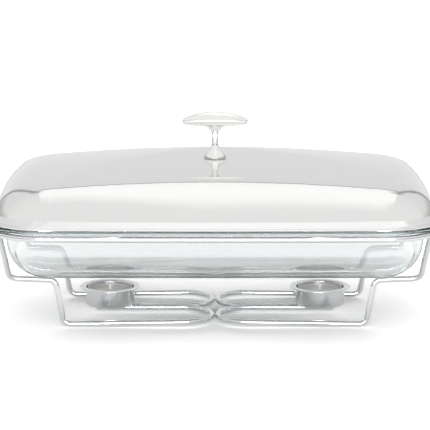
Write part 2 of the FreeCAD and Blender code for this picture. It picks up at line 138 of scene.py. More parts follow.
def rounded(points, radii, steps):
    """The path through the points with its inner corners bent to the radii, as a list of points."""
    path = [Vector(points[0])]
    for before, corner, after, radius in zip(points, points[1:], points[2:], radii):
        corner = Vector(corner)
        inward = (Vector(before) - corner).normalized()
        outward = (Vector(after) - corner).normalized()
        half = inward.angle(outward) / 2
        centre = corner + (inward + outward).normalized() * (radius / math.sin(half))
        start = corner + inward * (radius / math.tan(half)) - centre
        stop = corner + outward * (radius / math.tan(half)) - centre
        turn = start.angle_signed(stop)
        for number in range(steps + 1):
            share = turn * number / steps
            # Vector.angle_signed counts clockwise.
            path.append(centre + Vector((start.x * math.cos(share) + start.y * math.sin(share),
                                         start.y * math.cos(share) - start.x * math.sin(share))))
    path.append(Vector(points[-1]))
    return path


def arc(centre, radius, start, stop, steps):
    """Points on an arc between two angles in degrees."""
    turns = [math.radians(start + (stop - start) * number / steps) for number in range(steps + 1)]
    return [Vector(centre) + radius * Vector((math.cos(turn), math.sin(turn))) for turn in turns]


def new_piece(name):
    """Names the new primitive, applies its place and size, and goes into edit mode with it."""
    piece = bpy.context.object
    piece.name = name
    piece.data.name = name
    bpy.ops.object.transform_apply(location=True, rotation=True, scale=True)
    bpy.ops.object.mode_set(mode="EDIT")
    return piece


def pick(piece, wanted, kind="faces"):
    """Selects the faces or edges that the test wants, and nothing else."""
    mode = {"faces": "FACE", "edges": "EDGE"}[kind]
    bpy.ops.mesh.select_all(action="DESELECT")
    bpy.ops.mesh.select_mode(type=mode)
    mesh = bmesh.from_edit_mesh(piece.data)
    for item in getattr(mesh, kind):
        item.select_set(wanted(item))
    mesh.select_flush_mode()
    bmesh.update_edit_mesh(piece.data)


def press(path, down):
    """Presses the selected flat face along the path of (inset, height) points, ring by ring."""
    for here, there in zip(path, path[1:]):
        depth = here.y - there.y if down else there.y - here.y
        bpy.ops.mesh.inset(thickness=there.x - here.x, depth=depth, use_even_offset=True)


def turned(name, path, x, segments):
    """Turns the path of (radius, height) points about the upright line at x, as on a lathe."""
    bpy.ops.object.select_all(action="DESELECT")
    bpy.ops.mesh.primitive_plane_add(size=MM, location=(x + path[0].x, 0, path[0].y))
    piece = new_piece(name)
    bpy.ops.mesh.select_mode(type="VERT")
    bpy.ops.mesh.merge(type="CENTER")
    for here, there in zip(path, path[1:]):
        step = {"value": (there.x - here.x, 0, there.y - here.y)}
        bpy.ops.mesh.extrude_region_move(TRANSFORM_OT_translate=step)
    bpy.ops.mesh.select_all(action="SELECT")
    bpy.ops.mesh.spin(steps=segments, angle=2 * math.pi, center=(x, 0, 0), axis=(0, 0, 1))
    bpy.ops.mesh.select_all(action="SELECT")
    bpy.ops.mesh.remove_doubles(threshold=WELD_DISTANCE)
    bpy.ops.mesh.normals_make_consistent(inside=False)
    return piece


def smooth(piece, degrees):
    """Back to object mode, with soft shading but at edges sharper than the angle."""
    bpy.ops.object.mode_set(mode="OBJECT")
    bpy.ops.object.select_all(action="DESELECT")
    piece.select_set(True)
    bpy.context.view_layer.objects.active = piece
    bpy.ops.object.shade_smooth_by_angle(angle=math.radians(degrees))


# Finishes

SATIN_BAR = 15 * MM           # part of the knob under its top that has a satin finish
SATIN_FADE = 4 * MM           # the satin fades to a mirror over this height


def polished_steel():
    """Mirror polished 18/10 stainless sheet: a bright mirror, with the faint waves of the drawn
    sheet and a haze of buffing marks too fine to see one by one."""
    made, tree, out = material("mirror_polished_stainless_steel")
    where = add(tree, "ShaderNodeTexCoord").outputs["Object"]
    haze = add(tree, "ShaderNodeTexNoise", {"Vector": where, "Scale": 1 / (35 * MM), "Detail": 3.0})
    gloss = add(tree, "ShaderNodeMapRange", {"Value": haze.outputs["Fac"], "To Min": 0.03, "To Max": 0.07})
    waves = add(tree, "ShaderNodeTexNoise", {"Vector": where, "Scale": 1 / (60 * MM), "Detail": 0.0})
    bump = add(tree, "ShaderNodeBump",
               {"Height": waves.outputs["Fac"], "Strength": 1.0, "Distance": 0.03 * MM})
    steel = add(tree, "ShaderNodeBsdfPrincipled",
                {"Base Color": linear("#F4F4F3"), "Metallic": 1.0, "Roughness": gloss.outputs["Result"],
                 "Normal": bump.outputs["Normal"]})
    tree.links.new(steel.outputs["BSDF"], out.inputs["Surface"])
    return made


def cast_knob(satin_height):
    """Cast and polished knob: a satin bar over a mirror bright neck and foot, and all over it the fine
    grain of the casting, drawn 0.8 mm wide so that it shows."""
    made, tree, out = material("polished_cast_knob")
    where = add(tree, "ShaderNodeTexCoord").outputs["Object"]
    height = add(tree, "ShaderNodeSeparateXYZ", {"Vector": where}).outputs["Z"]
    grain = add(tree, "ShaderNodeTexNoise", {"Vector": where, "Scale": 1 / (0.8 * MM), "Detail": 4.0})
    satin = add(tree, "ShaderNodeMapRange",
                {"Value": height, "From Min": satin_height - SATIN_FADE, "From Max": satin_height,
                 "To Min": 0.05, "To Max": 0.16})
    gloss = add(tree, "ShaderNodeMath",
                {0: grain.outputs["Fac"], 1: 0.04, 2: satin.outputs["Result"]}, operation="MULTIPLY_ADD")
    bump = add(tree, "ShaderNodeBump",
               {"Height": grain.outputs["Fac"], "Strength": 0.15, "Distance": 0.02 * MM})
    steel = add(tree, "ShaderNodeBsdfPrincipled",
                {"Base Color": linear("#FEFDFB"), "Metallic": 1.0, "Roughness": gloss.outputs[0],
                 "Normal": bump.outputs["Normal"]})
    tree.links.new(steel.outputs["BSDF"], out.inputs["Surface"])
    return made


def chrome_plate():
    """Bright chrome on drawn steel wire: a mirror with a faint ripple of the drawn wire under it."""
    made, tree, out = material("chrome_plated_wire")
    where = add(tree, "ShaderNodeTexCoord").outputs["Object"]
    haze = add(tree, "ShaderNodeTexNoise", {"Vector": where, "Scale": 1 / (6 * MM), "Detail": 4.0})
    gloss = add(tree, "ShaderNodeMapRange", {"Value": haze.outputs["Fac"], "To Min": 0.06, "To Max": 0.12})
    bump = add(tree, "ShaderNodeBump",
               {"Height": haze.outputs["Fac"], "Strength": 0.15, "Distance": 0.02 * MM})
    steel = add(tree, "ShaderNodeBsdfPrincipled",
                {"Base Color": linear("#F0F1F2"), "Metallic": 1.0, "Roughness": gloss.outputs["Result"],
                 "Normal": bump.outputs["Normal"]})
    tree.links.new(steel.outputs["BSDF"], out.inputs["Surface"])
    return made


def cup_steel():
    """Chrome plated pressed cup: bright, with the upright draw marks of the press. The real ones are
    finer, and these stand 1.2 mm apart so that they show."""
    made, tree, out = material("chrome_plated_pressed_cup")
    where = add(tree, "ShaderNodeTexCoord").outputs["Object"]
    stretched = add(tree, "ShaderNodeMapping", {"Vector": where, "Scale": (1.0, 1.0, 0.04)})
    marks = add(tree, "ShaderNodeTexNoise",
                {"Vector": stretched.outputs["Vector"], "Scale": 1 / (1.2 * MM), "Detail": 3.0})
    gloss = add(tree, "ShaderNodeMapRange", {"Value": marks.outputs["Fac"], "To Min": 0.10, "To Max": 0.32})
    bump = add(tree, "ShaderNodeBump",
               {"Height": marks.outputs["Fac"], "Strength": 1.0, "Distance": 0.09 * MM})
    steel = add(tree, "ShaderNodeBsdfPrincipled",
                {"Base Color": linear("#EDEEEF"), "Metallic": 1.0, "Roughness": gloss.outputs["Result"],
                 "Normal": bump.outputs["Normal"]})
    tree.links.new(steel.outputs["BSDF"], out.inputs["Surface"])
    return made


def pressed_glass(tint, density):
    """Pressed soda-lime glass: clear, with the slow ripple of the mould in its skin and the green of
    its iron where the light goes far through it."""
    made, tree, out = material("pressed_soda_lime_glass")
    where = add(tree, "ShaderNodeTexCoord").outputs["Object"]
    ripple = add(tree, "ShaderNodeTexNoise", {"Vector": where, "Scale": 1 / (28 * MM), "Detail": 1.0})
    bump = add(tree, "ShaderNodeBump",
               {"Height": ripple.outputs["Fac"], "Strength": 1.0, "Distance": 0.06 * MM})
    glass = add(tree, "ShaderNodeBsdfPrincipled",
                {"Base Color": linear("#FFFFFF"), "Roughness": 0.0, "IOR": 1.52,
                 "Transmission Weight": 1.0, "Normal": bump.outputs["Normal"]})
    depth = add(tree, "ShaderNodeVolumeAbsorption", {"Color": tint, "Density": density})
    tree.links.new(glass.outputs["BSDF"], out.inputs["Surface"])
    tree.links.new(depth.outputs["Volume"], out.inputs["Volume"])
    return made


def rolled_aluminium():
    """Thin rolled aluminium can: bright, a little hazy, with the lines of the rolling mill. The real
    ones are finer, and these stand 0.5 mm apart so that they show."""
    made, tree, out = material("rolled_aluminium_can")
    where = add(tree, "ShaderNodeTexCoord").outputs["Object"]
    stretched = add(tree, "ShaderNodeMapping", {"Vector": where, "Scale": (0.05, 1.0, 1.0)})
    lines = add(tree, "ShaderNodeTexNoise",
                {"Vector": stretched.outputs["Vector"], "Scale": 1 / (0.5 * MM), "Detail": 3.0})
    gloss = add(tree, "ShaderNodeMapRange", {"Value": lines.outputs["Fac"], "To Min": 0.16, "To Max": 0.32})
    bump = add(tree, "ShaderNodeBump",
               {"Height": lines.outputs["Fac"], "Strength": 0.3, "Distance": 0.02 * MM})
    metal = add(tree, "ShaderNodeBsdfPrincipled",
                {"Base Color": linear("#E6E7E9"), "Metallic": 1.0, "Roughness": gloss.outputs["Result"],
                 "Normal": bump.outputs["Normal"]})
    tree.links.new(metal.outputs["BSDF"], out.inputs["Surface"])
    return made


def paraffin():
    """White paraffin wax: light sinks in a little, and the set surface is faintly mottled."""
    made, tree, out = material("white_paraffin_wax")
    where = add(tree, "ShaderNodeTexCoord").outputs["Object"]
    mottle = add(tree, "ShaderNodeTexNoise", {"Vector": where, "Scale": 1 / (3.5 * MM), "Detail": 5.0})
    tone = add(tree, "ShaderNodeMixRGB", {"Fac": mottle.outputs["Fac"], "Color1": linear("#F3F0EA"),
                                          "Color2": linear("#FBFAF7")})
    gloss = add(tree, "ShaderNodeMapRange",
                {"Value": mottle.outputs["Fac"], "To Min": 0.28, "To Max": 0.50})
    bump = add(tree, "ShaderNodeBump",
               {"Height": mottle.outputs["Fac"], "Strength": 0.4, "Distance": 0.08 * MM})
    wax = add(tree, "ShaderNodeBsdfPrincipled",
              {"Base Color": tone.outputs["Color"], "Roughness": gloss.outputs["Result"], "IOR": 1.44,
               "Subsurface Weight": 0.4, "Subsurface Radius": (1.0, 0.9, 0.8),
               "Subsurface Scale": 1.5 * MM, "Normal": bump.outputs["Normal"]})
    tree.links.new(wax.outputs["BSDF"], out.inputs["Surface"])
    return made


def cotton():
    """White cotton of the wick: matt, soft fibres along the strands."""
    made, tree, out = material("waxed_cotton")
    where = add(tree, "ShaderNodeTexCoord").outputs["Object"]
    fibres = add(tree, "ShaderNodeTexNoise", {"Vector": where, "Scale": 1 / (0.25 * MM), "Detail": 3.0})
    tone = add(tree, "ShaderNodeMixRGB", {"Fac": fibres.outputs["Fac"], "Color1": linear("#DDD8CC"),
                                          "Color2": linear("#F8F6F0")})
    bump = add(tree, "ShaderNodeBump",
               {"Height": fibres.outputs["Fac"], "Strength": 0.5, "Distance": 0.06 * MM})
    thread = add(tree, "ShaderNodeBsdfPrincipled",
                 {"Base Color": tone.outputs["Color"], "Roughness": 0.85, "Sheen Weight": 0.3,
                  "Normal": bump.outputs["Normal"]})
    tree.links.new(thread.outputs["BSDF"], out.inputs["Surface"])
    return made


def bare_metal(name, code, roughness):
    """A plain metal of screws and stampings, with small scuffs of handling that make it 30 percent
    rougher or smoother."""
    made, tree, out = material(name)
    where = add(tree, "ShaderNodeTexCoord").outputs["Object"]
    scuffs = add(tree, "ShaderNodeTexNoise", {"Vector": where, "Scale": 1 / (0.9 * MM), "Detail": 4.0})
    gloss = add(tree, "ShaderNodeMapRange",
                {"Value": scuffs.outputs["Fac"], "To Min": 0.7 * roughness, "To Max": 1.3 * roughness})
    metal = add(tree, "ShaderNodeBsdfPrincipled",
                {"Base Color": linear(code), "Metallic": 1.0, "Roughness": gloss.outputs["Result"]})
    tree.links.new(metal.outputs["BSDF"], out.inputs["Surface"])
    return made


def silicone():
    """Translucent pale silicone: soft and satin, with a faint bloom."""
    made, tree, out = material("translucent_silicone")
    where = add(tree, "ShaderNodeTexCoord").outputs["Object"]
    bloom = add(tree, "ShaderNodeTexNoise", {"Vector": where, "Scale": 1 / (1.5 * MM), "Detail": 2.0})
    gloss = add(tree, "ShaderNodeMapRange", {"Value": bloom.outputs["Fac"], "To Min": 0.35, "To Max": 0.55})
    rubber = add(tree, "ShaderNodeBsdfPrincipled",
                 {"Base Color": linear("#ECECE9"), "Roughness": gloss.outputs["Result"], "IOR": 1.41,
                  "Subsurface Weight": 0.3, "Subsurface Radius": (1.0, 1.0, 1.0),
                  "Subsurface Scale": 0.5 * MM})
    tree.links.new(rubber.outputs["BSDF"], out.inputs["Surface"])
    return made


# Stage

VIEW_END = 50.0               # how far the camera sees, in metres
BOUNCED = 0.5                 # diffuse depth over which light from the floor lights the object

# The studio that the polished pieces mirror. A place is the share of the half turn over the table from
# the back, 0, over the zenith, 0.5, to the front, 1, and stops are (place, level of the light).
ROOM = ((0.0, 0.84), (0.05, 0.78), (0.12, 0.757), (0.27, 0.755), (0.40, 0.82), (0.60, 0.85), (1.0, 0.849))
# The overhead light, from the dark frame at its back edge forwards, and its fading to the front.
LIGHT = ((0.259, 0.755), (0.264, 0.28), (0.272, 0.28), (0.276, 1.03), (0.40, 1.075), (0.53, 1.057),
         (0.58, 1.047))
LIGHT_FADE = ((0.58, 1.0), (0.63, 0.955), (0.666, 0.911), (0.705, 0.86), (0.745, 0.8185), (1.0, 0.811))
# Sideways, a direction is given by x over z: the middle of the light, and how far from it a side of the
# light begins to end and has ended.
LIGHT_MIDDLE = 0.06
LIGHT_SIDE = (0.35, 0.40)
LEAST_HEIGHT = 0.02           # z under this counts as this, so that x over z stays finite
# To the left and to the right the fading starts further back. Each pair gives the x over z where that
# is most, and by what share of the half turn.
DRAWN_LEFT = (-0.20, 0.22)
DRAWN_RIGHT = (0.40, 0.15)
# Two dark stands at the back corners of the light, as seen from the object. Each has the normal of the
# plane through its pole, and the direction of its head.
STANDS = (((1.0, 0.444, 0.056), (-0.29, 0.57, 0.77)),
          ((-1.0, 0.501, 0.059), (0.33, 0.55, 0.77)))
STAND_END = (0.30, 0.335)     # places between which a stand fades out
STAND_REACH = 0.075           # half the width of a stand
STAND_SHADE = 0.60            # most that a stand takes of the light behind it
HEAD_REACH = 0.12             # the same two for its head
HEAD_SHADE = 0.62
# The room gets darker low down and far to the sides, between these z and x, by this share at most.
SIDE_HEIGHT = (0.15, 0.40)
SIDE_BREADTH = (0.35, 0.65)
SIDE_SHADE = 0.55


class StageSettings(bpy.types.PropertyGroup):
    """The camera, the table and the low lamps."""

    camera_distance: FloatProperty(name="Camera Distance", default=2.2, unit="LENGTH",
                                   description="How far the camera is in front of the dish's middle")
    camera_height: FloatProperty(name="Camera Height", default=0.5443, unit="LENGTH",
                                 description="Height of the camera above the table")
    camera_pitch: angle("Camera Pitch", "How far the camera looks down", 11.759)
    focal_pixels: FloatProperty(name="Focal Length", default=2584.1, subtype="PIXEL",
                                description="Focal length in pixels of the picture")
    floor_tone: colour("Floor Tone", "Colour of the table", "#F2F2F2")
    floor_size: FloatProperty(name="Floor Size", default=12.0, unit="LENGTH",
                              description="Side of the square table")
    floor_drop: length("Floor Drop", "Depth of the table under height zero, clear of the wires", 0.2)
    floor_gain: FloatProperty(name="Floor Gain", default=1.48, min=0,
                              description="How many times brighter the table is for the camera")
    mirrored_gain: FloatProperty(name="Mirrored Gain", default=1.0, min=0,
                                 description="How many times brighter the table is in a mirror")
    glass_gain: FloatProperty(name="Glass Gain", default=1.13, min=0,
                              description="How many times brighter the table is through glass")
    front_power: FloatProperty(name="Front Fill Power", default=17.0, min=0, unit="POWER",
                               description="Power of the low lamp in front")
    back_power: FloatProperty(name="Back Fill Power", default=13.0, min=0, unit="POWER",
                              description="Power of the low lamp behind")
    fill_distance: FloatProperty(name="Fill Distance", default=1.5, unit="LENGTH",
                                 description="How far the low lamps are from the dish's middle")
    fill_height: FloatProperty(name="Fill Height", default=0.36, unit="LENGTH",
                               description="Height of the low lamps above the table")
    fill_length: FloatProperty(name="Fill Length", default=1.2, unit="LENGTH",
                               description="Length of a low lamp")
    fill_width: FloatProperty(name="Fill Width", default=0.25, unit="LENGTH",
                              description="Width of a low lamp")


class CHAFING_OT_stage(bpy.types.Operator):
    """Makes the camera, the white floor and the studio around it"""

    bl_idname = "chafing.stage"
    bl_label = "Stage"

    def execute(self, context):
        settings = context.scene.chafing_stage
        data = bpy.data.cameras.new("camera")
        data.sensor_width = SENSOR
        data.lens = settings.focal_pixels / IMAGE_SIZE * SENSOR
        data.clip_end = VIEW_END
        camera = bpy.data.objects.new("camera", data)
        camera.location = (0, -settings.camera_distance, settings.camera_height)
        camera.rotation_euler = (math.radians(90) - settings.camera_pitch, 0, 0)
        context.scene.collection.objects.link(camera)
        context.scene.camera = camera
        bpy.ops.object.select_all(action="DESELECT")
        bpy.ops.mesh.primitive_plane_add(size=settings.floor_size, location=(0, 0, -settings.floor_drop))
        floor = context.object
        floor.name = "floor"
        dress(floor, floor_finish(settings))
        context.scene.world = studio_world()
        context.scene.view_settings.view_transform = "Standard"
        return {"FINISHED"}


def floor_finish(settings):
    """White table: overexposed where it is seen, also in metal and glass, and it keeps the shadow."""
    made, tree, out = material("white_floor")
    rays = add(tree, "ShaderNodeLightPath").outputs
    plain = shown = list(settings.floor_tone)
    for ray, gain in (("Is Glossy Ray", settings.mirrored_gain),
                      ("Is Transmission Ray", settings.glass_gain),
                      ("Is Camera Ray", settings.floor_gain)):
        bright = [gain * c for c in plain[:3]] + [1.0]
        shown = add(tree, "ShaderNodeMixRGB",
                    {"Fac": rays[ray], "Color1": shown, "Color2": bright}).outputs["Color"]
    # Light that the floor throws on the object keeps its real strength.
    direct = add(tree, "ShaderNodeMath", {0: rays["Diffuse Depth"], 1: BOUNCED},
                 operation="LESS_THAN").outputs[0]
    tone = add(tree, "ShaderNodeMixRGB", {"Fac": direct, "Color1": plain, "Color2": shown})
    white = add(tree, "ShaderNodeBsdfDiffuse", {"Color": tone.outputs["Color"]})
    tree.links.new(white.outputs[0], out.inputs["Surface"])
    return made


def overhead_light(tree, share, aside):
    """Level of the overhead light. Its front edge is soft, and lies further back to both sides."""
    left = add(tree, "ShaderNodeMapRange",
               {"Value": aside, "From Min": 0.0, "From Max": DRAWN_LEFT[0],
                "To Min": 0.0, "To Max": DRAWN_LEFT[1]},
               interpolation_type="SMOOTHSTEP").outputs["Result"]
    right = add(tree, "ShaderNodeMapRange",
                {"Value": aside, "From Min": 0.0, "From Max": DRAWN_RIGHT[0],
                 "To Min": 0.0, "To Max": DRAWN_RIGHT[1]}).outputs["Result"]
    drawn = add(tree, "ShaderNodeMath", {0: left, 1: right}, operation="ADD").outputs[0]
    ahead = add(tree, "ShaderNodeMath", {0: share, 1: drawn}, operation="ADD").outputs[0]
    level = add(tree, "ShaderNodeValToRGB", {"Fac": share}, stops=LIGHT).outputs["Color"]
    fading = add(tree, "ShaderNodeValToRGB", {"Fac": ahead}, stops=LIGHT_FADE).outputs["Color"]
    return add(tree, "ShaderNodeMixRGB", {"Fac": 1.0, "Color1": level, "Color2": fading},
               blend_type="MULTIPLY").outputs["Color"]


def stand_shade(tree, way, share, plane, head):
    """What a dark stand and its head take of the light behind them."""
    beside = add(tree, "ShaderNodeVectorMath", {0: way, 1: plane},
                 operation="DOT_PRODUCT").outputs["Value"]
    apart = add(tree, "ShaderNodeMath", {0: beside}, operation="ABSOLUTE").outputs[0]
    near = add(tree, "ShaderNodeMapRange", {"Value": apart, "From Min": 0.0, "From Max": STAND_REACH,
                                            "To Min": STAND_SHADE, "To Max": 0.0}).outputs["Result"]
    under = add(tree, "ShaderNodeMapRange",
                {"Value": share, "From Min": STAND_END[0], "From Max": STAND_END[1],
                 "To Min": 1.0, "To Max": 0.0}).outputs["Result"]
    pole = add(tree, "ShaderNodeMath", {0: near, 1: under}, operation="MULTIPLY").outputs[0]
    away = add(tree, "ShaderNodeVectorMath", {0: way, 1: head}, operation="DISTANCE").outputs["Value"]
    top = add(tree, "ShaderNodeMapRange", {"Value": away, "From Min": 0.0, "From Max": HEAD_REACH,
                                           "To Min": HEAD_SHADE, "To Max": 0.0}).outputs["Result"]
    return add(tree, "ShaderNodeMath", {0: pole, 1: top}, operation="MAXIMUM").outputs[0]


def side_shade(tree, x, z):
    """What the dark low sides of the room take of its light."""
    low = add(tree, "ShaderNodeMapRange",
              {"Value": z, "From Min": SIDE_HEIGHT[0], "From Max": SIDE_HEIGHT[1],
               "To Min": 1.0, "To Max": 0.0}).outputs["Result"]
    breadth = add(tree, "ShaderNodeMath", {0: x}, operation="ABSOLUTE").outputs[0]
    wide = add(tree, "ShaderNodeMapRange",
               {"Value": breadth, "From Min": SIDE_BREADTH[0], "From Max": SIDE_BREADTH[1],
                "To Min": 0.0, "To Max": SIDE_SHADE}).outputs["Result"]
    return add(tree, "ShaderNodeMath", {0: low, 1: wide}, operation="MULTIPLY").outputs[0]


def studio_world():
    """A white room: pale grey walls, dark low sides, and on two dark stands a wide soft light overhead,
    whose back and side edges the lid mirrors. The camera sees plain white, also through glass."""
    made = bpy.data.worlds.new("studio")
    made.use_nodes = True
    tree = made.node_tree
    tree.nodes.clear()
    out = add(tree, "ShaderNodeOutputWorld")
    way = add(tree, "ShaderNodeTexCoord").outputs["Generated"]
    x, y, z = add(tree, "ShaderNodeSeparateXYZ", {"Vector": way}).outputs
    swing = add(tree, "ShaderNodeMath", {0: z, 1: y}, operation="ARCTAN2").outputs[0]
    share = add(tree, "ShaderNodeMath", {0: swing, 1: math.pi}, operation="DIVIDE").outputs[0]
    height = add(tree, "ShaderNodeMath", {0: z, 1: LEAST_HEIGHT}, operation="MAXIMUM").outputs[0]
    aside = add(tree, "ShaderNodeMath", {0: x, 1: height}, operation="DIVIDE").outputs[0]
    centred = add(tree, "ShaderNodeMath", {0: aside, 1: LIGHT_MIDDLE}, operation="SUBTRACT").outputs[0]
    off = add(tree, "ShaderNodeMath", {0: centred}, operation="ABSOLUTE").outputs[0]
    inside = add(tree, "ShaderNodeMapRange",
                 {"Value": off, "From Min": LIGHT_SIDE[0], "From Max": LIGHT_SIDE[1],
                  "To Min": 1.0, "To Max": 0.0}).outputs["Result"]
    room = add(tree, "ShaderNodeValToRGB", {"Fac": share}, stops=ROOM).outputs["Color"]
    light = overhead_light(tree, share, aside)
    lit = add(tree, "ShaderNodeMixRGB", {"Fac": inside, "Color1": room, "Color2": light}).outputs["Color"]
    shades = [stand_shade(tree, way, share, plane, head) for plane, head in STANDS]
    for shade in shades + [side_shade(tree, x, z)]:
        rest = add(tree, "ShaderNodeMath", {0: 1.0, 1: shade}, operation="SUBTRACT").outputs[0]
        lit = add(tree, "ShaderNodeMixRGB", {"Fac": 1.0, "Color1": lit, "Color2": rest},
                  blend_type="MULTIPLY").outputs["Color"]
    rays = add(tree, "ShaderNodeLightPath").outputs
    seen = add(tree, "ShaderNodeMath", {0: rays["Is Camera Ray"], 1: rays["Is Transmission Ray"]},
               operation="MAXIMUM").outputs[0]
    studio = add(tree, "ShaderNodeBackground", {"Color": lit, "Strength": 1.0})
    white = add(tree, "ShaderNodeBackground", {"Color": linear("#FFFFFF"), "Strength": 1.0})
    shown = add(tree, "ShaderNodeMixShader", {0: seen, 1: studio.outputs[0], 2: white.outputs[0]})
    tree.links.new(shown.outputs[0], out.inputs["Surface"])
    return made


# Glass dish

class DishSettings(bpy.types.PropertyGroup):
    """Sizes of the baking dish and the tint of its glass."""

    rim_width: length("Rim Width", "Flat rim outside the wall", 15.5)
    rim_thickness: length("Rim Thickness", "Thickness of the flat rim", 3.7)
    rim_round: length("Rim Round", "Rounding of the rim's edges", 1.2)
    under_bend: length("Bend under the Rim", "Bend from the wall to the rim's underside", 3.0)
    corner: length("Rim Corner", "Corner radius of the rim's edge in plan", 51.5)
    base_corner: length("Base Corner", "Corner radius in plan where the base gets flat", 0.8)
    side_bow: length("Side Bow", "Swell of the long sides", 2.2)
    end_bow: length("End Bow", "Swell of the short ends", 1.5)
    draft: angle("Draft", "Lean of the walls", 8.0)
    wall: length("Wall", "Thickness of the walls", 4.5)
    base: length("Base", "Thickness of the base", 5.0)
    base_bend: length("Base Bend", "Bend from the wall to the base, outside", 32.0)
    corner_steps: IntProperty(name="Corner Steps", description="Strips round a corner", default=18, min=4)
    side_cuts: IntProperty(name="Side Cuts", description="Cuts along a side", default=14, min=1)
    bend_steps: IntProperty(name="Bend Steps", description="Strips round the base bend", default=12, min=3)
    edge_steps: IntProperty(name="Edge Steps", description="Strips round the rim's edges", default=4, min=1)
    tint: colour("Tint", "What deep glass leaves of white light", "#B9D9DA")
    density: FloatProperty(name="Tint Density", description="How fast the tint builds up", default=15.0)


class CHAFING_OT_glass_dish(bpy.types.Operator):
    """Presses the glass baking dish from a plate with round corners"""

    bl_idname = "chafing.glass_dish"
    bl_label = "Glass Dish"

    def execute(self, context):
        size = context.scene.chafing_dish
        low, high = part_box("glass_dish")
        half_length, half_width = high.x, high.y
        rim_top, bottom = high.z, low.z
        rim_underside = rim_top - size.rim_thickness
        bpy.ops.object.select_all(action="DESELECT")
        bpy.ops.mesh.primitive_plane_add(size=2.0, location=(0, 0, rim_underside))
        context.object.scale = (half_length - size.end_bow, half_width - size.side_bow, 1)
        dish = new_piece("pressed_glass_dish")
        bpy.ops.mesh.select_all(action="SELECT")
        bpy.ops.mesh.bevel(offset=size.corner, offset_type="OFFSET", affect="VERTICES",
                           segments=size.corner_steps)
        # An edge longer than two strips of a corner is one of the four sides.
        chord = 2 * size.corner * math.sin(math.radians(45))
        pick(dish, lambda edge: edge.calc_length() > 2 * chord / size.corner_steps, "edges")
        bpy.ops.mesh.subdivide(number_cuts=size.side_cuts)
        mesh = bmesh.from_edit_mesh(dish.data)
        for vertex in mesh.verts:
            x, y = vertex.co.x, vertex.co.y
            vertex.co.x += size.end_bow * x / half_length * (1 - (y / half_width) ** 2)
            vertex.co.y += size.side_bow * y / half_width * (1 - (x / half_length) ** 2)
        bmesh.update_edit_mesh(dish.data)
        bpy.ops.mesh.select_all(action="SELECT")
        bpy.ops.mesh.extrude_region_move(TRANSFORM_OT_translate={"value": (0, 0, size.rim_thickness)})
        bpy.ops.mesh.select_all(action="SELECT")
        bpy.ops.mesh.normals_make_consistent(inside=False)
        pick(dish, lambda edge: abs(edge.verts[0].co.z - edge.verts[1].co.z) < WELD_DISTANCE, "edges")
        bpy.ops.mesh.bevel(offset=size.rim_round, segments=size.edge_steps, affect="EDGES")
        lean = math.tan(size.draft)
        depth = rim_underside - bottom
        flat = size.corner - size.base_corner
        outside = rounded([(size.rim_round, rim_underside), (size.rim_width, rim_underside),
                           (size.rim_width + depth * lean, bottom), (flat, bottom)],
                          [size.under_bend, size.base_bend], size.bend_steps)
        pick(dish, lambda face: face.normal.z < -FLAT)
        press(outside, down=True)
        wall = size.rim_width + size.wall / math.cos(size.draft)
        floor = bottom + size.base
        inside = rounded([(size.rim_round, rim_top), (wall - size.rim_thickness * lean, rim_top),
                          (wall + (rim_underside - floor) * lean, floor), (flat, floor)],
                         [size.rim_round, size.base_bend - size.wall], size.bend_steps)
        pick(dish, lambda face: face.normal.z > FLAT)
        press(inside, down=False)
        smooth(dish, GLASS_EDGE)
        stand_for(dish, pressed_glass(size.tint, size.density), "glass_dish", "dish")
        return {"FINISHED"}


# Candle cups and tealights

CUP_BEND_STEPS = 8            # strips round a bend of the cup
CUP_LIP_STEPS = 12            # strips round its rolled edge
LIP_START = -143              # degrees at which that edge leaves the underside of the flange
CAN_BEND_STEPS = 5            # strips round a bend of the can
CAN_LIP_STEPS = 10            # strips round its rolled edge
FOLD_STRIPS = 4               # strips round the can for each of its folds
FOLD_RINGS = (0.15, 0.3, 0.5, 0.7, 0.85, 1.0)     # rings up the can's wall, over which the folds fade
WAX_BEND_STEPS = 4            # strips round the bottom edge of the wax
POOL_RINGS = 23               # rings over the top of the wax
WICK_CREEP = 0.5              # climb of the wax at the wick, as a share of its climb at the can
STRANDS = 3                   # strands of the wick
STRAND_SIDES = 12             # strips round a strand
STRAND_CUTS = 39              # cuts along a strand


class CandleSettings(bpy.types.PropertyGroup):
    """Sizes of the candle cups and the tealights in them."""

    cup_wall: length("Cup Wall", "Thickness of the cup's sheet", 0.8)
    cup_flange: length("Cup Flange", "Flat flange outside the cup's wall", 4.5)
    cup_lip: length("Cup Lip", "Radius of the flange's rolled edge", 0.5)
    cup_bend: length("Cup Bend", "Bend from the cup's wall to its floor", 2.6)
    flange_bend: length("Flange Bend", "Bend from the cup's wall to its flange, under it", 0.6)
    can_wall: length("Can Wall", "Thickness of the can's sheet", 0.4)
    can_lip: length("Can Lip", "Radius of the can's rolled edge", 0.45)
    can_bend: length("Can Bend", "Bend from the can's wall to its floor", 1.2)
    folds: IntProperty(name="Folds", description="Drawn folds round the can's wall", default=44, min=3)
    fold_depth: length("Fold Depth", "Depth of the folds", 0.10)
    meniscus: length("Meniscus", "How far the wax creeps up the wall and the wick", 0.4)
    wick_strand: length("Strand", "Radius of one of the wick's strands", 0.40)
    wick_twists: IntProperty(name="Twists", description="Turns of a strand from end to end", default=3)
    lathe_segments: IntProperty(name="Segments", description="Strips round a turned piece", default=96)


def middle(low, high):
    """The middle of a box from left to right."""
    return (low.x + high.x) / 2


